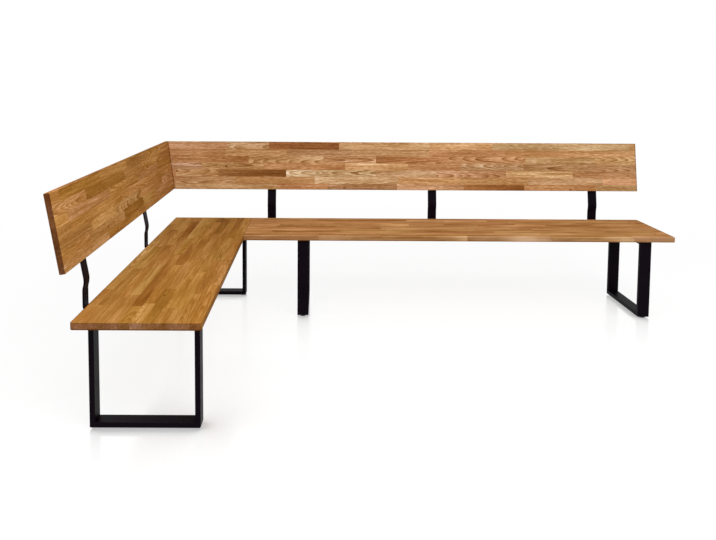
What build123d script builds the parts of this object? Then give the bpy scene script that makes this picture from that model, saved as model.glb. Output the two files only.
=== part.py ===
# Corner bench: two oak seats and two reclined oak backrests carried on black steel.
# Millimetres, +Z up, origin on the floor under the middle of the bench's outer box.
#
# Every piece is first placed in a bench frame: x runs along the bench from the seats'
# outer rear corner, y points out behind the seat, z is up. The long bench lies in that
# frame as it is. The short bench is the same frame mirrored in the upright 45 degree
# plane through the corner, which is also the plane of the backrest's mitre.
from build123d import *
import os
from math import atan2, cos, hypot, radians, sin, tan

# Seats
seat_height = 445.0
seat_depth = 450.0
seat_thickness = 27.0
short_seat_length = 1740.0
long_seat_length = 2280.0
seat_corner_radius = 10.0
board_edge_round = 3.0

# Backrests
back_height = 283.0
back_thickness = 22.0
back_tilt = 10.0
back_gap = 168.0
back_setback = 9.0
back_end_round = 2.0

# Leg frames of rectangular tube, and where they stand
tube_width = 60.0
tube_height = 20.0
tube_wall = 2.0
tube_corner_chamfer = 1.5
tube_mitre_dressing = 3.3
leg_rear_inset = 18.0
leg_front_inset = 28.0
short_end_leg_inset = 130.0
corner_leg_inset = 23.0
inner_leg_seam_inset = 284.0
long_end_leg_inset = 112.0

# Glides pressed into the floor rails
glide_diameter = 30.0
glide_sides = 16
glide_height = 6.0
glide_edge_chamfer = 1.0
glide_end_inset = 18.0
glide_stem_diameter = 8.0
glide_stem_length = 9.0

# Swan-neck brackets of flat bar, and where they stand
bracket_width = 50.0
bracket_thickness = 6.0
bracket_foot = 150.0
bracket_standoff = 22.0
bracket_rise = 47.0
bracket_knee = 75.0
bracket_lap = 190.0
bracket_bend_radius = 10.0
bracket_neck_share = 0.23
bracket_knee_share = 0.60
bracket_end_radius = 8.0
bracket_hole_inset = 30.0
short_bracket_leg_gap = 22.0
short_bracket_corner_inset = 600.0
long_bracket_leg_gap = 63.0
long_bracket_seam_inset = 116.0

# Connector plates under the joint of the seats
seam_plate_length = 120.0
seam_plate_width = 40.0
seam_plate_thickness = 4.0
seam_plate_corner_radius = 6.0
seam_plate_hole_inset = 15.0
seam_plate_hole_pitch = 26.0
seam_plate_leg_gap = 30.0
seam_plate_front_inset = 70.0

# Bent plate behind the mitre of the backrests
corner_plate_reach = 110.0
corner_plate_height = 120.0
corner_plate_thickness = 4.0
corner_plate_hole_inset = 20.0

# Fasteners
leg_screw_diameter = 6.0
leg_screw_head = 12.0
leg_screw_head_height = 3.5
leg_screw_end_inset = 70.0
leg_screw_spread = 32.0
leg_hole_clearance = 0.3
insert_diameter = 10.0
insert_length = 14.0
insert_thread_clearance = 0.1
wood_screw_diameter = 5.0
wood_screw_head = 10.0
wood_screw_head_height = 3.0
wood_screw_hole_clearance = 0.25
seat_screw_bite = 18.0
back_screw_bite = 15.0
screw_play = 0.05
bore_end_room = 1.0
shank_sides = 6
head_sides = 6

# Worked out from the above
seat_under = seat_height - seat_thickness
short_bench_length = short_seat_length
long_bench_length = seat_depth + long_seat_length
tilt_sin = sin(radians(back_tilt))
tilt_cos = cos(radians(back_tilt))
back_low = seat_height + back_gap
back_middle_y = back_setback + (back_thickness * tilt_cos + back_height * tilt_sin) / 2
back_core_thickness = back_thickness - 2 * board_edge_round
back_core_height = back_height - 2 * board_edge_round
back_half_span = (back_core_thickness * tilt_cos + back_core_height * tilt_sin) / 2 + board_edge_round
back_reach = back_middle_y + back_half_span
rear_low_y = back_setback + back_thickness * tilt_cos
rear_low_z = back_low - back_thickness * tilt_sin
leg_frame_width = seat_depth - leg_rear_inset - leg_front_inset
leg_frame_height = seat_under - glide_height
mitre_plane = Plane(origin=(0, 0, 0), z_dir=(1, 1, 0))
to_origin = Pos((back_reach - long_bench_length) / 2, (short_bench_length - back_reach) / 2, 0)

long_legs = {
    "long_inner_leg": seat_depth + inner_leg_seam_inset + tube_width / 2,
    "long_end_leg": long_bench_length - long_end_leg_inset - tube_width / 2,
}
short_legs = {
    "corner_leg": corner_leg_inset + tube_width / 2,
    "short_end_leg": short_bench_length - short_end_leg_inset - tube_width / 2,
}
long_first_bracket = seat_depth + long_bracket_seam_inset
long_last_bracket = long_legs["long_end_leg"] - (tube_width + bracket_width) / 2 - long_bracket_leg_gap
short_last_bracket = short_legs["short_end_leg"] - (tube_width + bracket_width) / 2 - short_bracket_leg_gap
long_brackets = {
    "long_back_bracket_corner": long_first_bracket,
    "long_back_bracket_middle": (long_first_bracket + long_last_bracket) / 2,
    "long_back_bracket_end": long_last_bracket,
}
short_brackets = {
    "short_back_bracket_corner": short_bracket_corner_inset,
    "short_back_bracket_end": short_last_bracket,
}


def rear_face(x, up, out=0.0):
    """Plane on a backrest's rear face: y runs up the slope, z points out behind it."""
    y = rear_low_y + up * tilt_sin + out * tilt_cos
    z = rear_low_z + up * tilt_cos - out * tilt_sin
    return Plane(origin=(x, y, z), x_dir=(-1, 0, 0), z_dir=(0, tilt_cos, -tilt_sin))


def driven_into(plane):
    """Place on a plane with z turned into the board, the way a screw is driven."""
    return Plane(origin=plane.origin, x_dir=plane.x_dir, z_dir=-plane.z_dir).location


def prism(sides, width, length, start=0.0):
    """Regular prism along +Z from the height start, of the given width across flats."""
    outline = RegularPolygon(width / 2, sides, major_radius=False)
    return Pos(0, 0, start) * extrude(outline, length)


def bored(piece, places, width, depth, start=0.0):
    """The piece with one hole driven at each place."""
    drill = prism(shank_sides, width, depth, start)
    return piece - [place * drill for place in places]


def hexagon_screw(diameter, length, head, head_height):
    """Screw along +Z with its hexagon head's bearing face on z = 0."""
    return prism(head_sides, head, head_height, -head_height) + prism(shank_sides, diameter, length)


# Boards


def seat_board(start, end):
    """Seat from start to end along the bench, with its free corners rounded."""
    middle = Pos((start + end) / 2, -seat_depth / 2, seat_height - seat_thickness / 2)
    board = middle * Box(end - start, seat_depth, seat_thickness)
    board = fillet(board.edges().filter_by(Axis.Z).group_by(Axis.X)[-1], seat_corner_radius)
    return fillet(board.faces().filter_by(Axis.Z).edges(), board_edge_round)


def back_board(end):
    """Reclined board from the corner's mitre to its free end."""
    section = RectangleRounded(back_thickness, back_height, board_edge_round, align=(Align.MIN, Align.MIN))
    section = Plane.YZ * (Pos(back_setback, back_low) * Rot(0, 0, -back_tilt) * section)
    board = extrude(Pos(-2 * back_reach, 0, 0) * section, end + 2 * back_reach)
    board = fillet(board.faces().sort_by(Axis.X)[-1].edges(), back_end_round)
    return split(board, bisect_by=mitre_plane, keep=Keep.TOP)


# Leg frames


def mitred_tube(length):
    """Tube along +X with its outer face on z = 0, both ends mitred and their tips dressed off."""
    inner, tip = tube_height, tube_mitre_dressing
    start = [(inner, inner), (tip / 2, tip / 2), (tip, 0)]
    end = [(length - along, up) for along, up in reversed(start)]
    tube = extrude(Plane.XZ * Polygon(*start, *end, align=None), tube_width / 2, both=True)
    tube = chamfer(tube.edges().filter_by(Axis.X), tube_corner_chamfer)
    hollow = Box(2 * length, tube_width - 2 * tube_wall, tube_height - 2 * tube_wall)
    return tube - Pos(length / 2, 0, tube_height / 2) * hollow


def glide():
    """Plastic disc with a stem, standing on z = 0."""
    disc = prism(glide_sides, glide_diameter, glide_height)
    disc = chamfer(disc.faces().sort_by(Axis.Z)[0].edges(), glide_edge_chamfer)
    return disc + prism(shank_sides, glide_stem_diameter, glide_stem_length, glide_height)


def leg_frame(name, x):
    """The pieces of one leg, and the places of its screws under the top rail."""
    width, height = leg_frame_width, leg_frame_height
    top = glide_height + height
    stand = Pos(x, -leg_rear_inset, 0) * Rot(0, 0, -90)
    glides = [Pos(at, 0, 0) for at in (glide_end_inset, width - glide_end_inset)]
    screws = [
        Pos(at, side * leg_screw_spread / 2, top - tube_height)
        for at in (leg_screw_end_inset, width - leg_screw_end_inset)
        for side in (-1, 1)
    ]
    floor_rail = Pos(0, 0, glide_height) * mitred_tube(width)
    floor_rail = bored(floor_rail, glides, glide_stem_diameter + 2 * screw_play, tube_wall, glide_height)
    top_rail = Pos(width, 0, top) * Rot(0, 180, 0) * mitred_tube(width)
    top_rail = bored(top_rail, screws, leg_screw_diameter + 2 * leg_hole_clearance, tube_height)
    pieces = {
        f"{name}_floor_rail": floor_rail,
        f"{name}_top_rail": top_rail,
        f"{name}_back_upright": Pos(0, 0, top) * Rot(0, 90, 0) * mitred_tube(height),
        f"{name}_front_upright": Pos(width, 0, glide_height) * Rot(0, -90, 0) * mitred_tube(height),
        f"{name}_glides": Compound(children=[place * glide() for place in glides]),
    }
    return {node: stand * piece for node, piece in pieces.items()}, [stand * place for place in screws]


# Backrest brackets


def bracket(x):
    """Bent flat bar: a foot under the seat, a swan neck, and a leaf on the backrest.

    The neck leans forward between two wide bends, and each bend takes its share of that run.
    """
    foot_end = (-bracket_foot, seat_under)
    heel = (bracket_standoff, seat_under)
    neck = (bracket_standoff, seat_height + bracket_rise)
    knee_up = (seat_height + bracket_knee - rear_low_z) / tilt_cos
    knee = rear_face(x, knee_up).origin
    leaf_end = rear_face(x, bracket_lap).origin
    forward, upward = bracket_standoff - knee.Y, knee.Z - neck[1]
    run, lean = hypot(forward, upward), atan2(forward, upward)
    neck_radius = bracket_neck_share * run / tan(lean / 2)
    knee_radius = bracket_knee_share * run / tan((lean + radians(back_tilt)) / 2)
    corners = [foot_end, heel, neck, (knee.Y, knee.Z), (leaf_end.Y, leaf_end.Z)]
    line = FilletPolyline(*corners, radius=[bracket_bend_radius, neck_radius, knee_radius])
    outline = offset(line, bracket_thickness, side=Side.RIGHT, closed=True)
    bar = extrude(Pos(x, 0, 0) * (Plane.YZ * make_face(outline)), bracket_width / 2, both=True)
    ends = [bar.faces().sort_by(Axis.Y)[0], bar.faces().sort_by(Axis.Z)[-1]]
    end_edges = [edge for end in ends for edge in end.edges().sort_by(SortBy.LENGTH)[:2]]
    return fillet(end_edges, bracket_end_radius)


def bracket_screw_places(x):
    """Places of a bracket's screws: heads under the foot, heads behind the leaf."""
    foot_heads = (bracket_hole_inset - bracket_foot, -bracket_hole_inset)
    leaf_heads = (bracket_hole_inset, bracket_lap - bracket_hole_inset)
    foot = [Pos(x, y, seat_under - bracket_thickness) for y in foot_heads]
    leaf = [driven_into(rear_face(x, up, bracket_thickness)) for up in leaf_heads]
    return foot, leaf


# Connectors at the corner


def seam_plate(y):
    plate = RectangleRounded(seam_plate_length, seam_plate_width, seam_plate_corner_radius)
    return Pos(seat_depth, y, seat_under - seam_plate_thickness) * extrude(plate, seam_plate_thickness)


def seam_screw_places(y):
    far = seam_plate_length / 2 - seam_plate_hole_inset
    near = far - seam_plate_hole_pitch
    low = seat_under - seam_plate_thickness
    return [Pos(seat_depth + along, y, low) for along in (-far, -near, near, far)]


def corner_leaf():
    """Half of the bent plate: flat on a backrest's rear face and cut off at the mitre."""
    middle = rear_face(0, back_height / 2, corner_plate_thickness / 2)
    leaf = middle * Box(2 * corner_plate_reach, corner_plate_height, corner_plate_thickness)
    return split(leaf, bisect_by=mitre_plane, keep=Keep.TOP)


def corner_screw_places():
    x = corner_plate_reach - corner_plate_hole_inset
    off = corner_plate_height / 2 - corner_plate_hole_inset
    ups = (back_height / 2 - off, back_height / 2 + off)
    return [driven_into(rear_face(x, up, corner_plate_thickness)) for up in ups]


# Assembly


def screws_at(places, diameter, length, head, head_height):
    screw = hexagon_screw(diameter, length, head, head_height)
    return Compound(children=[place * screw for place in places])


def wood_screws(places, through, bite):
    return screws_at(places, wood_screw_diameter, through + bite, wood_screw_head, wood_screw_head_height)


def pilot_holes(board, places, through, bite):
    """Pilot holes for wood screws whose heads stand a plate's thickness off the board."""
    return bored(board, places, wood_screw_diameter + 2 * screw_play, bite + bore_end_room, through)


def clearance_holes(plate, places, thickness):
    return bored(plate, places, wood_screw_diameter + 2 * wood_screw_hole_clearance, thickness)


def bench(side, seat, back, legs, brackets):
    """One bench in its bench frame: its boards with their bores, its legs and its brackets."""
    nodes = {}
    thread = leg_screw_diameter + 2 * insert_thread_clearance
    insert = prism(shank_sides, insert_diameter, insert_length) - prism(shank_sides, thread, insert_length)
    inserts = []
    for name, x in legs.items():
        pieces, places = leg_frame(name, x)
        nodes.update(pieces)
        length = tube_height + insert_length
        nodes[f"{name}_screws"] = screws_at(
            places, leg_screw_diameter, length, leg_screw_head, leg_screw_head_height
        )
        bore = insert_diameter + 2 * screw_play
        seat = bored(seat, places, bore, insert_length + bore_end_room, tube_height)
        inserts += [place * Pos(0, 0, tube_height) * insert for place in places]
    nodes[f"{side}_seat_inserts"] = Compound(children=inserts)

    foot_places, leaf_places = [], []
    for name, x in brackets.items():
        foot, leaf = bracket_screw_places(x)
        nodes[name] = clearance_holes(bracket(x), foot + leaf, bracket_thickness)
        foot_places += foot
        leaf_places += leaf
    nodes[f"{side}_bracket_seat_screws"] = wood_screws(foot_places, bracket_thickness, seat_screw_bite)
    nodes[f"{side}_bracket_back_screws"] = wood_screws(leaf_places, bracket_thickness, back_screw_bite)
    nodes[f"{side}_seat_board"] = pilot_holes(seat, foot_places, bracket_thickness, seat_screw_bite)
    back = pilot_holes(back, leaf_places, bracket_thickness, back_screw_bite)
    back = pilot_holes(back, corner_screw_places(), corner_plate_thickness, back_screw_bite)
    nodes[f"{side}_backrest_board"] = back
    return nodes


def corner_bench():
    """Every node of the bench, by name, in the long bench's frame."""
    long_seat = seat_board(seat_depth, long_bench_length)
    short_seat = seat_board(0, short_bench_length)
    short = bench("short", short_seat, back_board(short_bench_length), short_legs, short_brackets)
    nodes = bench("long", long_seat, back_board(long_bench_length), long_legs, long_brackets)
    nodes.update({name: mirror(piece, about=mitre_plane) for name, piece in short.items()})

    rear_y = -(corner_leg_inset + tube_width + seam_plate_leg_gap + seam_plate_width / 2)
    front_y = seam_plate_front_inset - seat_depth
    seam_places = []
    for name, y in (("rear", rear_y), ("front", front_y)):
        places = seam_screw_places(y)
        nodes[f"seat_seam_plate_{name}"] = clearance_holes(seam_plate(y), places, seam_plate_thickness)
        seam_places += places
    nodes["seat_seam_screws"] = wood_screws(seam_places, seam_plate_thickness, seat_screw_bite)
    for seat in ("long_seat_board", "short_seat_board"):
        nodes[seat] = pilot_holes(nodes[seat], seam_places, seam_plate_thickness, seat_screw_bite)

    places = corner_screw_places()
    leaf = clearance_holes(corner_leaf(), places, corner_plate_thickness)
    screws = wood_screws(places, corner_plate_thickness, back_screw_bite)
    nodes["backrest_corner_plate"] = leaf + mirror(leaf, about=mitre_plane)
    nodes["backrest_corner_screws"] = Compound(children=[screws, mirror(screws, about=mitre_plane)])
    return nodes


os.makedirs("parts", exist_ok=True)
for node, piece in corner_bench().items():
    export_step(to_origin * piece, f"parts/{node}.step")
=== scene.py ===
# Corner bench: oiled oak boards on black powder-coated steel, on a white studio floor.
# Metres, in the part's own frame.
import math

import bpy
from mathutils import Matrix, Vector


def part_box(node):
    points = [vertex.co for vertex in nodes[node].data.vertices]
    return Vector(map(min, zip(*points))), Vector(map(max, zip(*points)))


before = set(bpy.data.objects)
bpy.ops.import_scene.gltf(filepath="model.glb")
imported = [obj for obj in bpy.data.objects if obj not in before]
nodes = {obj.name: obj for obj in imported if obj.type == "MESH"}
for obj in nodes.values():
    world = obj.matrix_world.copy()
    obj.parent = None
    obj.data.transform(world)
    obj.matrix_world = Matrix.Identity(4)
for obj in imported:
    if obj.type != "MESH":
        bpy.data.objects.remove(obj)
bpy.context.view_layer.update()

# Picture frame in pixels
picture_width = 716
picture_height = 540

# Camera
camera_place = (-0.4734, -3.2095, 1.2942)
camera_focal_pixels = 690.87
camera_axis_pixel = (321.6, 124.0)
camera_yaw = 0.0017
camera_pitch = 0.0719
camera_roll = 0.0057
camera_reach = 200.0
sensor_width = 36.0

# Staves of the glued oak
seat_row_width = 0.0411
back_row_width = 0.0407
face_clearance = 0.001
stave_length = 0.40
stave_unevenness = 0.8
stave_shift = 31.0
row_shift = 7.31
glue_line_core = 0.0002
glue_line_edge = 0.0007
stave_dice = (17.0, 5.0)

# Knots, and how far the grain flows round them
knot_rarity = 0.955
knot_first = 0.25
knot_range = 0.5
knot_slimness = 0.6
knot_core = 0.0015
knot_edge = 0.0055
swirl_radius = 0.035
swirl_lift = 0.018

# Growth rings
rings_per_metre = 320.0
ring_sharpness = 2.2
ring_middle = 0.3
ring_slant = 0.05
ring_unevenness = 4.0
pith_spread = 0.11
pith_depth = 0.03
pith_depth_range = 0.05
grain_bend = 0.012
grain_ripple = 0.003
flat_sawn = (0.10, 0.25)
quarter_sawn_share = 0.4

# Waves in a metre of each layer of grain, along and across the stave
bend_waves = (5.0, 11.0)
ripple_waves = (22.0, 60.0)
streak_waves = (4.0, 85.0)
cloud_waves = (3.5, 22.0)
fleck_waves = (34.0, 230.0)
pore_waves = (15.0, 620.0)
year_waves = 130.0
pore_cut = (0.58, 0.72)

# Changes between faces, by how squarely they look along an axis: where each begins and ends
face_turn = (0.55, 0.80)
arris_turn = (0.80, 0.99)
glue_turn = (0.3, 0.7)
lower_rim_turn = (0.80, 0.95)

# Painted shade on the edges of the boards: where it is full, and how far it reaches
rim_core = 0.001
wall_rim = 0.007
mitre_rim = 0.005
far_end_rim = 0.008
lower_rim_core = 0.002
lower_rim = 0.007
lower_rim_share = 0.9

# How much each mark darkens the oak, and how its colour follows
odd_stave_gain = 2.6
side_calm = 0.7
brown_staves = (0.04, 0.14)
brown_stave_depth = 0.20
pore_depth = 0.30
glue_depth = 0.25
# the depth of the painted shade on the board edges
edge_shade_depth = 0.70
knot_depth = 1.1
green_depth = 1.42
stave_green = 0.06

# Oiled surface
oak_gloss = 0.03
glue_relief = 0.8
ring_relief = 0.25

# Metal and plastic: waves in a metre along x, y and z, colours on screen and gloss
peel_waves = (900.0, 900.0, 900.0)
patch_waves = (14.0, 14.0, 14.0)
brushing_waves = (300.0, 300.0, 1400.0)
erosion_waves = (1500.0, 1500.0, 1500.0)
coat_shades = ((8, 3, 10), (14, 6, 14))
plastic_shades = ((22, 21, 22), (34, 33, 34))
screw_shade = (70, 68, 70)
insert_shade = (190, 188, 180)
brushed_share = 0.8
ramp_ends = (0.3, 0.7)
coat_gloss = 0.042

# Sky and floor of the studio
world_strength = 0.62
floor_size = 120.0
floor_shadow_share = 0.20
floor_headroom = 0.035
floor_bounce = 0.8
floor_fade = (2.2, 4.0)
mirror_roughness = 0.15
mirror_reach = 0.4
mirror_gain = 1.2
mirror_least = 0.03
mirror_most = 0.45

# Where the benches meet: the outer rear corner of the seats
long_seat_low, long_seat_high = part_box("long_seat_board")
short_seat_low, short_seat_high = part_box("short_seat_board")
corner = Vector((short_seat_low.x, long_seat_high.y, long_seat_high.z))


def linear(red, green, blue):
    """Colour written as it shows on screen, 0 to 255, to the renderer's linear values."""
    def channel(value):
        value /= 255.0
        return value / 12.92 if value <= 0.04045 else ((value + 0.055) / 1.055) ** 2.4
    return (channel(red), channel(green), channel(blue), 1.0)


# Shader building


class Graph:
    """A material's node tree, with short calls for the nodes used here."""

    def __init__(self, name):
        self.material = bpy.data.materials.new(name)
        self.material.use_nodes = True
        self.tree = self.material.node_tree
        self.shader = self.tree.nodes["Principled BSDF"]
        self.output = self.tree.nodes["Material Output"]

    def put(self, socket, value):
        if isinstance(value, bpy.types.NodeSocket):
            self.tree.links.new(value, socket)
        else:
            socket.default_value = value

    def node(self, kind, **settings):
        made = self.tree.nodes.new(kind)
        for key, value in settings.items():
            setattr(made, key, value)
        return made

    def math(self, operation, *values):
        made = self.node("ShaderNodeMath", operation=operation)
        for socket, value in zip(made.inputs, values):
            self.put(socket, value)
        return made.outputs[0]

    def vector(self, operation, *values):
        made = self.node("ShaderNodeVectorMath", operation=operation)
        for socket, value in zip(made.inputs, values):
            self.put(socket, value)
        return made.outputs["Value" if operation in ("DOT_PRODUCT", "LENGTH") else "Vector"]

    def combine(self, x, y, z):
        made = self.node("ShaderNodeCombineXYZ")
        for socket, value in zip(made.inputs, (x, y, z)):
            self.put(socket, value)
        return made.outputs[0]

    def separate(self, value):
        made = self.node("ShaderNodeSeparateXYZ")
        self.put(made.inputs[0], value)
        return made.outputs[0], made.outputs[1], made.outputs[2]

    def noise(self, place, detail, roughness=0.5):
        made = self.node("ShaderNodeTexNoise")
        self.put(made.inputs["Vector"], place)
        made.inputs["Scale"].default_value = 1.0
        made.inputs["Detail"].default_value = detail
        made.inputs["Roughness"].default_value = roughness
        return made.outputs["Fac"]

    def speckle(self, waves, detail):
        """Noise with so many waves a metre along x, y and z."""
        place = self.node("ShaderNodeTexCoord").outputs["Object"]
        return self.noise(self.vector("MULTIPLY", place, waves), detail)

    def span(self, value, low, high, to_low=0.0, to_high=1.0):
        made = self.node("ShaderNodeMapRange", interpolation_type="SMOOTHSTEP")
        for socket, number in zip(made.inputs, (value, low, high, to_low, to_high)):
            self.put(socket, number)
        return made.outputs[0]

    def ramp(self, value, first, second):
        """From one screen colour to another over the middle of a noise."""
        made = self.node("ShaderNodeValToRGB")
        self.put(made.inputs[0], value)
        for point, at, shade in zip(made.color_ramp.elements, ramp_ends, (first, second)):
            point.position = at
            point.color = linear(*shade)
        return made.outputs[0]

    def mix(self, share, first, second, blend="MIX"):
        made = self.node("ShaderNodeMix", data_type="RGBA", blend_type=blend)
        self.put(made.inputs["Factor"], share)
        self.put(made.inputs["A"], first)
        self.put(made.inputs["B"], second)
        return made.outputs["Result"]

    def hypotenuse(self, first, second):
        squares = self.math("MULTIPLY_ADD", first, first, self.math("MULTIPLY", second, second))
        return self.math("SQRT", squares)

    def distance(self, first, second):
        return self.math("ABSOLUTE", self.math("SUBTRACT", first, second))

    def rough(self, value, least, more):
        """Roughness that rises with a noise."""
        self.put(self.shader.inputs["Roughness"], self.math("MULTIPLY_ADD", value, more, least))

    def bump(self, height, strength, distance):
        made = self.node("ShaderNodeBump")
        made.inputs["Strength"].default_value = strength
        made.inputs["Distance"].default_value = distance
        self.put(made.inputs["Height"], height)
        self.put(self.shader.inputs["Normal"], made.outputs[0])


class Oak(Graph):
    """Glued oak: rows of staves of many lengths, each with its own tone, hue, rings, pores and knots."""

    def __init__(self, name, board):
        super().__init__(name)
        self.board = board
        here = self.node("ShaderNodeTexCoord").outputs["Object"]
        self.place = self.vector("SUBTRACT", here, tuple(board["origin"]))
        self.axes = [tuple(board[axis]) for axis in ("along", "across", "depth")]
        runs = [self.vector("DOT_PRODUCT", self.place, axis) for axis in self.axes]
        self.along, self.across, self.depth = runs
        self.lay_staves()
        self.set_knots()
        self.bend_grain()
        self.grow_rings()
        self.sort_faces()
        self.streak = self.grain(streak_waves, detail=4.0, roughness=0.65)
        self.pore = self.span(self.grain(pore_waves, detail=2.0), *pore_cut)
        self.line = self.glue_lines()
        self.put(self.shader.inputs["Base Color"], self.colour(self.tone()))
        self.finish_surface()

    def dice(self, first, second):
        """One more random value of the stave, from -1 to 1."""
        mixed = self.math("MULTIPLY", second, stave_dice[1])
        mixed = self.math("MULTIPLY_ADD", first, stave_dice[0], mixed)
        return self.math("MULTIPLY_ADD", self.math("FRACT", mixed), 2.0, -1.0)

    def lay_staves(self):
        """Each row is cut into staves, and each stave gets three random values."""
        rows = self.math("DIVIDE", self.math("ADD", self.across, face_clearance), self.board["row_width"])
        row = self.math("FLOOR", rows)
        self.in_row = self.math("SUBTRACT", rows, row)
        row_start = self.math("MULTIPLY_ADD", row, row_shift, self.board["seed"])
        run = self.math("ADD", self.math("DIVIDE", self.along, stave_length), row_start)
        cell = self.node("ShaderNodeTexVoronoi", voronoi_dimensions="1D", feature="F1")
        edge = self.node("ShaderNodeTexVoronoi", voronoi_dimensions="1D", feature="DISTANCE_TO_EDGE")
        for texture in (cell, edge):
            self.put(texture.inputs["W"], run)
            texture.inputs["Scale"].default_value = 1.0
            texture.inputs["Randomness"].default_value = stave_unevenness
        self.chance, self.swing, self.sort = self.separate(cell.outputs["Color"])
        self.shift = self.math("MULTIPLY", self.chance, stave_shift)
        self.in_stave = self.math("MULTIPLY", self.math("SUBTRACT", run, cell.outputs["W"]), stave_length)
        self.to_stave_end = self.math("MULTIPLY", edge.outputs["Distance"], stave_length)

    def set_knots(self):
        """A small knot in a few staves, which the grain flows round."""
        middle = self.math("MULTIPLY_ADD", self.swing, knot_range, knot_first)
        across = self.math("SUBTRACT", self.in_row, middle)
        across = self.math("MULTIPLY", across, self.board["row_width"])
        from_knot = self.hypotenuse(self.math("MULTIPLY", self.in_stave, knot_slimness), across)
        knotty = self.math("GREATER_THAN", self.sort, knot_rarity)
        dark = self.span(from_knot, knot_core, knot_edge, 1.0, 0.0)
        lift = self.span(from_knot, 0.0, swirl_radius, swirl_lift, 0.0)
        self.knot = self.math("MULTIPLY", knotty, dark)
        self.swirl = self.math("MULTIPLY", knotty, lift)

    def bend_grain(self):
        """The grain wanders across the stave in long bends and short ripples."""
        def sway(waves, detail):
            along = self.math("MULTIPLY_ADD", self.along, waves[0], self.shift)
            across = self.math("MULTIPLY", self.across, waves[1])
            return self.noise(self.combine(along, across, self.depth), detail)

        bend = self.math("MULTIPLY_ADD", sway(bend_waves, detail=2.0), grain_bend, -grain_bend / 2)
        self.bend = self.math("MULTIPLY_ADD", sway(ripple_waves, detail=1.0), grain_ripple, bend)
        self.flow = self.math("ADD", self.across, self.bend)

    def grain(self, waves, detail, roughness=0.5):
        """Noise drawn out along the bent grain."""
        along, across = waves
        place = self.combine(self.math("MULTIPLY_ADD", self.along, along, self.shift),
                             self.math("MULTIPLY", self.flow, across),
                             self.math("MULTIPLY", self.depth, across))
        return self.noise(place, detail, roughness)

    def grow_rings(self):
        """Growth rings round a pith under or beside the stave, at a slant to it."""
        pith = self.math("SUBTRACT", self.swing, 0.5)
        y = self.math("SUBTRACT", self.in_row, 0.5)
        y = self.math("MULTIPLY_ADD", y, self.board["row_width"], self.bend)
        y = self.math("MULTIPLY_ADD", pith, pith_spread, y)
        slant = self.math("MULTIPLY", self.in_stave, ring_slant)
        slant = self.math("MULTIPLY", slant, self.dice(self.sort, self.swing))
        z = self.math("MULTIPLY_ADD", self.sort, pith_depth_range, pith_depth)
        z = self.math("ADD", self.math("ADD", self.depth, slant), z)
        z = self.math("ADD", z, self.swirl)
        radius = self.hypotenuse(y, z)
        years = self.combine(self.math("MULTIPLY", radius, year_waves), self.shift, 0.5)
        years = self.math("MULTIPLY", self.noise(years, detail=1.0), ring_unevenness)
        ring = self.math("MULTIPLY_ADD", radius, rings_per_metre, years)
        self.ring = self.math("POWER", self.math("FRACT", ring), ring_sharpness)
        full = -self.board["figure"]
        self.figure = self.span(self.math("ABSOLUTE", pith), *flat_sawn, full, quarter_sawn_share * full)

    def sort_faces(self):
        """Which way a face looks: end grain, side of the board, broad face or arris."""
        normal = self.node("ShaderNodeNewGeometry").outputs["Normal"]
        looks = [self.math("ABSOLUTE", self.vector("DOT_PRODUCT", normal, axis)) for axis in self.axes]
        self.looks_along, self.looks_across, self.looks_out = looks
        self.end = self.span(self.looks_along, *face_turn)
        self.side = self.span(self.looks_across, *face_turn)
        squarest = self.math("MAXIMUM", self.looks_along, self.looks_across)
        squarest = self.math("MAXIMUM", squarest, self.looks_out)
        self.arris = self.span(squarest, *arris_turn, 1.0, 0.0)

    def glue_lines(self):
        """Thin lines between staves, except on the sides of the board."""
        to_row = self.math("MINIMUM", self.in_row, self.math("SUBTRACT", 1.0, self.in_row))
        joint = self.math("MULTIPLY", to_row, self.board["row_width"])
        joint = self.math("MINIMUM", joint, self.to_stave_end)
        line = self.span(joint, glue_line_core, glue_line_edge, 1.0, 0.0)
        return self.math("MULTIPLY", line, self.span(self.looks_across, *glue_turn, 1.0, 0.0))

    def painted_edge_shade(self):
        """Painted shade along the rear edge by the wall, at the mitre and at the far end; darker towards
        the bottom of the edge faces.
        """
        board = self.board
        rim = self.span(self.distance(self.across, board["wall_edge"]), rim_core, wall_rim, 1.0, 0.0)
        if "mitre" in board:
            to_mitre = self.math("ABSOLUTE", self.vector("DOT_PRODUCT", self.place, board["mitre"]))
            rim = self.math("MAXIMUM", rim, self.span(to_mitre, rim_core, mitre_rim, 1.0, 0.0))
        if "far_end" in board:
            far = self.span(self.distance(self.along, board["far_end"]), rim_core, far_end_rim, 1.0, 0.0)
            far = self.math("MULTIPLY", far, self.math("SUBTRACT", 1.0, self.end))
            rim = self.math("MAXIMUM", rim, far)
        if "thickness" in board:
            first = board["thickness"] - lower_rim
            last = board["thickness"] - lower_rim_core
            lower = self.span(self.depth, first, last, 0.0, lower_rim_share)
            lower = self.math("MULTIPLY", lower, self.span(self.looks_out, *lower_rim_turn, 1.0, 0.0))
            rim = self.math("MAXIMUM", rim, lower)
        return rim

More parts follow.
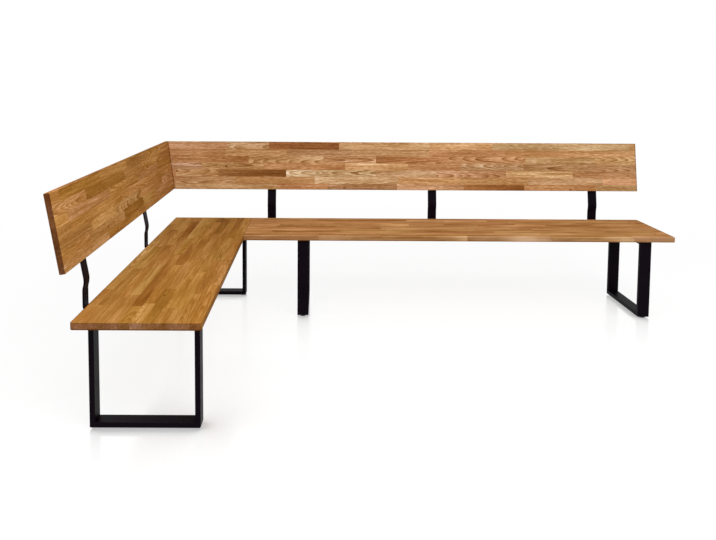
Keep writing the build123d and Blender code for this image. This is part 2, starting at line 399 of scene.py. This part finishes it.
    def tone(self):
        """Depth of colour: most staves are alike, and a few are much darker or paler."""
        board = self.board
        odd = self.math("MULTIPLY_ADD", self.chance, 2.0, -1.0)
        odd_cubed = self.math("MULTIPLY", odd, self.math("MULTIPLY", odd, odd))
        on_face = board["contrast"]
        contrast = self.math("MULTIPLY_ADD", self.side, -side_calm * on_face, on_face)
        contrast = self.math("MULTIPLY_ADD", self.end, board["end_contrast"] - on_face, contrast)
        tone = self.math("MULTIPLY", self.math("MULTIPLY_ADD", odd_cubed, odd_stave_gain, odd), contrast)
        marks = (
            (board["streaks"], self.math("SUBTRACT", self.streak, 0.5)),
            (board["clouds"], self.math("SUBTRACT", self.grain(cloud_waves, detail=2.0), 0.5)),
            (board["flecks"], self.math("SUBTRACT", self.grain(fleck_waves, detail=2.0), 0.5)),
            (self.figure, self.math("SUBTRACT", self.ring, ring_middle)),
            (board["drift"], self.math("MULTIPLY", self.in_stave, self.dice(self.sort, self.chance))),
            (-brown_stave_depth, self.span(self.chance, *brown_staves, 1.0, 0.0)),
            (-pore_depth, self.pore),
            (-glue_depth, self.line),
            # painted highlight on the long seat's rounded front edge (arris 0.5); the other boards'
            # rounded edges are darkened
            (board["arris"], self.arris),
            # painted shade along the edges where boards meet other parts and at the far end, darker
            # towards the bottom of edge faces
            (-edge_shade_depth, self.painted_edge_shade()),
            (-knot_depth, self.knot),
        )
        for amount, value in marks:
            tone = self.math("MULTIPLY_ADD", value, amount, tone)
        return tone

    def colour(self, tone):
        """The board's colour, deepened by the tone and turned by each stave's hue."""
        board = self.board
        hue = self.dice(self.chance, self.sort)
        green_hue, blue_hue = [self.math("MULTIPLY", hue, share) for share in board["hue"]]
        green_hue = self.math("MULTIPLY_ADD", self.dice(self.swing, self.chance), stave_green, green_hue)
        red = self.math("EXPONENT", tone)
        green = self.math("EXPONENT", self.math("MULTIPLY_ADD", tone, green_depth, green_hue))
        blue = self.math("EXPONENT", self.math("MULTIPLY_ADD", tone, board["blue_depth"], blue_hue))
        # edge faces take a colour of their own: partly the wood's edge grain, partly painted shade
        colour = self.mix(self.side, linear(*board["colour"]), linear(*board["side_colour_and_shade"]))
        colour = self.mix(self.end, colour, linear(*board["end_colour"]))
        return self.mix(1.0, colour, self.combine(red, green, blue), "MULTIPLY")

    def finish_surface(self):
        """Matt oil over open pores."""
        self.rough(self.streak, least=0.66, more=0.22)
        self.shader.inputs["Specular IOR Level"].default_value = oak_gloss
        relief = self.math("ADD", self.pore, self.math("MULTIPLY", self.line, glue_relief))
        relief = self.math("MULTIPLY_ADD", self.ring, ring_relief, relief)
        self.bump(self.math("SUBTRACT", 1.0, relief), strength=0.25, distance=0.0004)


def powder_coat(name):
    """Black powder coat: fine orange peel, slightly uneven gloss."""
    g = Graph(name)
    peel = g.speckle(peel_waves, detail=3.0)
    patch = g.speckle(patch_waves, detail=3.0)
    g.put(g.shader.inputs["Base Color"], g.ramp(patch, *coat_shades))
    g.rough(patch, least=0.40, more=0.14)
    g.shader.inputs["Specular IOR Level"].default_value = coat_gloss
    g.bump(peel, strength=0.12, distance=0.0002)
    return g.material


def bare_metal(name, shade, roughness):
    """Plated steel of screws and inserts, lightly brushed."""
    g = Graph(name)
    brushing = g.speckle(brushing_waves, detail=2.0)
    darker = [value * brushed_share for value in shade]
    g.put(g.shader.inputs["Base Color"], g.ramp(brushing, darker, shade))
    g.rough(brushing, least=roughness, more=0.15)
    g.shader.inputs["Metallic"].default_value = 1.0
    g.bump(brushing, strength=0.08, distance=0.0001)
    return g.material


def moulded_plastic(name):
    """Black plastic of the glides, with a fine eroded texture."""
    g = Graph(name)
    erosion = g.speckle(erosion_waves, detail=2.0)
    g.put(g.shader.inputs["Base Color"], g.ramp(erosion, *plastic_shades))
    g.rough(erosion, least=0.5, more=0.2)
    g.bump(erosion, strength=0.2, distance=0.0002)
    return g.material


def dress(name, material):
    mesh = nodes[name].data
    mesh.materials.clear()
    mesh.materials.append(material)


# Boards, each with its axes, its edges and the look of its oak
back_tilt = math.radians(10.0)
tilt_sin, tilt_cos = math.sin(back_tilt), math.cos(back_tilt)
long_back_low, long_back_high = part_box("long_backrest_board")
back_origin = (corner.x, corner.y, long_back_low.z)
mitre_normal = (math.sqrt(0.5), math.sqrt(0.5), 0)
oak_boards = {
    "long_seat_board": {
        "origin": (corner.x, long_seat_low.y, corner.z), "row_width": seat_row_width, "seed": 413.7,
        "along": (1, 0, 0), "across": (0, 1, 0), "depth": (0, 0, -1),
        "wall_edge": long_seat_high.y - long_seat_low.y, "far_end": long_seat_high.x - corner.x,
        "thickness": long_seat_high.z - long_seat_low.z,
        "colour": (177, 124, 72), "side_colour_and_shade": (166, 124, 84), "end_colour": (138, 92, 52),
        "hue": (0.06, 0.11), "blue_depth": 2.1, "contrast": 0.05, "end_contrast": 0.15, "arris": 0.5,
        "streaks": 0.65, "clouds": 1.50, "flecks": 0.25, "figure": 0.25, "drift": 0.3,
    },
    "short_seat_board": {
        "origin": tuple(corner), "row_width": seat_row_width, "seed": 576.6,
        "along": (0, -1, 0), "across": (1, 0, 0), "depth": (0, 0, -1),
        "wall_edge": 0.0, "thickness": short_seat_high.z - short_seat_low.z,
        "colour": (163, 113, 50), "side_colour_and_shade": (136, 92, 40), "end_colour": (125, 83, 47),
        "hue": (0.02, 0.10), "blue_depth": 2.7, "contrast": 0.065, "end_contrast": 0.13, "arris": -0.15,
        "streaks": 1.20, "clouds": 0.85, "flecks": 0.40, "figure": 0.38, "drift": 0.5,
    },
    "long_backrest_board": {
        "origin": back_origin, "row_width": back_row_width, "seed": 509.6,
        "along": (1, 0, 0), "across": (0, tilt_sin, tilt_cos), "depth": (0, tilt_cos, -tilt_sin),
        "wall_edge": 0.0, "far_end": long_back_high.x - corner.x, "mitre": mitre_normal,
        "colour": (179, 132, 87), "side_colour_and_shade": (172, 124, 78), "end_colour": (146, 98, 50),
        "hue": (0.10, 0.22), "blue_depth": 2.1, "contrast": 0.085, "end_contrast": 0.10, "arris": -0.15,
        "streaks": 1.30, "clouds": 0.75, "flecks": 1.20, "figure": 0.75, "drift": 0.8,
    },
    "short_backrest_board": {
        "origin": back_origin, "row_width": back_row_width, "seed": 442.8,
        "along": (0, -1, 0), "across": (-tilt_sin, 0, tilt_cos), "depth": (-tilt_cos, 0, -tilt_sin),
        "wall_edge": 0.0, "mitre": mitre_normal,
        "colour": (171, 121, 63), "side_colour_and_shade": (160, 108, 52), "end_colour": (98, 59, 29),
        "hue": (0.03, 0.20), "blue_depth": 2.6, "contrast": 0.05, "end_contrast": 0.06, "arris": -0.15,
        "streaks": 1.25, "clouds": 0.60, "flecks": 0.80, "figure": 0.55, "drift": 0.4,
    },
}

# Materials on the nodes
oiled_boards = {}
for name, board in oak_boards.items():
    oiled_boards[name] = Oak(name.replace("board", "oak"), board).material
black_steel = powder_coat("black_powder_coat")
screw_steel = bare_metal("blackened_steel", screw_shade, roughness=0.32)
insert_steel = bare_metal("plated_steel", insert_shade, roughness=0.3)
glide_plastic = moulded_plastic("black_plastic")
for name in nodes:
    if name in oiled_boards:
        dress(name, oiled_boards[name])
    elif name.endswith("glides"):
        dress(name, glide_plastic)
    elif name.endswith("screws"):
        dress(name, screw_steel)
    elif name.endswith("inserts"):
        dress(name, insert_steel)
    else:
        dress(name, black_steel)


# Studio


def white_to_camera(tree, shown, lit):
    """Shader seen by camera, glossy and transmitted rays, and another one for the light it gives."""
    path = tree.nodes.new("ShaderNodeLightPath")
    seen = path.outputs["Is Camera Ray"]
    for kind in ("Is Glossy Ray", "Is Transmission Ray"):
        larger = tree.nodes.new("ShaderNodeMath")
        larger.operation = "MAXIMUM"
        tree.links.new(seen, larger.inputs[0])
        tree.links.new(path.outputs[kind], larger.inputs[1])
        seen = larger.outputs[0]
    mix = tree.nodes.new("ShaderNodeMixShader")
    tree.links.new(seen, mix.inputs[0])
    tree.links.new(lit, mix.inputs[1])
    tree.links.new(shown, mix.inputs[2])
    return mix.outputs[0]


def studio_world():
    """White to look at, and a soft even light."""
    world = bpy.data.worlds.new("studio")
    bpy.context.scene.world = world
    world.use_nodes = True
    tree = world.node_tree
    tree.nodes.clear()
    skies = []
    for strength in (1.0, world_strength):
        sky = tree.nodes.new("ShaderNodeBackground")
        sky.inputs["Color"].default_value = (1, 1, 1, 1)
        sky.inputs["Strength"].default_value = strength
        skies.append(sky.outputs[0])
    output = tree.nodes.new("ShaderNodeOutputWorld")
    tree.links.new(white_to_camera(tree, *skies), output.inputs["Surface"])


def studio_white():
    """Floor with the bench's shadow and a faint mirror image where it stands, white further out."""
    g = Graph("studio_white")
    g.tree.nodes.remove(g.shader)

    def plain(kind, level):
        made = g.node(kind)
        made.inputs["Color"].default_value = (level, level, level, 1)
        return made

    def blend(share, first, second):
        made = g.node("ShaderNodeMixShader")
        for socket, value in zip(made.inputs, (share, first, second)):
            g.put(socket, value)
        return made.outputs[0]

    matt = g.node("ShaderNodeAddShader")
    g.put(matt.inputs[0], plain("ShaderNodeBsdfDiffuse", floor_shadow_share).outputs[0])
    glow = 1.0 + floor_headroom - floor_shadow_share
    g.put(matt.inputs[1], plain("ShaderNodeEmission", glow).outputs[0])
    mirror = plain("ShaderNodeBsdfGlossy", 1.0)
    mirror.inputs["Roughness"].default_value = mirror_roughness
    nook = g.node("ShaderNodeAmbientOcclusion", samples=16)
    nook.inputs["Distance"].default_value = mirror_reach
    polish = g.math("SUBTRACT", 1.0, nook.outputs["AO"])
    polish = g.math("MULTIPLY_ADD", polish, mirror_gain, mirror_least)
    near = blend(g.math("MINIMUM", polish, mirror_most), matt.outputs[0], mirror.outputs[0])
    from_middle = g.vector("LENGTH", g.node("ShaderNodeTexCoord").outputs["Object"])
    white = plain("ShaderNodeEmission", 1.0).outputs[0]
    shown = blend(g.span(from_middle, *floor_fade), near, white)
    lit = plain("ShaderNodeBsdfDiffuse", floor_bounce).outputs[0]
    g.put(g.output.inputs["Surface"], white_to_camera(g.tree, shown, lit))
    return g.material


def studio_floor():
    bpy.ops.mesh.primitive_plane_add(size=floor_size, location=(0, 0, 0))
    floor = bpy.context.object
    floor.name = "studio_floor"
    floor.data.materials.append(studio_white())


def soft_box(name, place, target, size, power):
    light = bpy.data.lights.new(name, "AREA")
    light.shape = "SQUARE"
    light.size = size
    light.energy = power
    lamp = bpy.data.objects.new(name, light)
    lamp.location = place
    lamp.rotation_mode = "QUATERNION"
    lamp.rotation_quaternion = (Vector(place) - Vector(target)).to_track_quat("Z", "Y")
    lamp.visible_camera = False
    bpy.context.collection.objects.link(lamp)


def studio_camera():
    yaw, pitch, roll = camera_yaw, camera_pitch, camera_roll
    forward = Vector((math.sin(yaw) * math.cos(pitch), math.cos(yaw) * math.cos(pitch), -math.sin(pitch)))
    level = Vector((math.cos(yaw), -math.sin(yaw), 0))
    upright = level.cross(forward)
    right = math.cos(roll) * level + math.sin(roll) * upright
    up = -math.sin(roll) * level + math.cos(roll) * upright
    lens = bpy.data.cameras.new("camera")
    lens.sensor_width = sensor_width
    lens.lens = camera_focal_pixels / picture_width * sensor_width
    lens.shift_x = (picture_width / 2 - camera_axis_pixel[0]) / picture_width
    lens.shift_y = (camera_axis_pixel[1] - picture_height / 2) / picture_width
    lens.clip_end = camera_reach
    camera = bpy.data.objects.new("camera", lens)
    turn = Matrix((right, up, -forward)).transposed().to_4x4()
    camera.matrix_world = Matrix.Translation(camera_place) @ turn
    bpy.context.collection.objects.link(camera)
    bpy.context.scene.camera = camera


bpy.context.scene.view_settings.view_transform = "Standard"
studio_world()
studio_floor()
soft_box("key_light", place=(1.0, -2.6, 3.6), target=(0.0, 0.2, 0.4), size=2.6, power=98.0)
soft_box("near_light", place=(-1.3, -1.7, 2.1), target=(-1.1, -0.9, 0.45), size=0.8, power=11.0)
studio_camera()
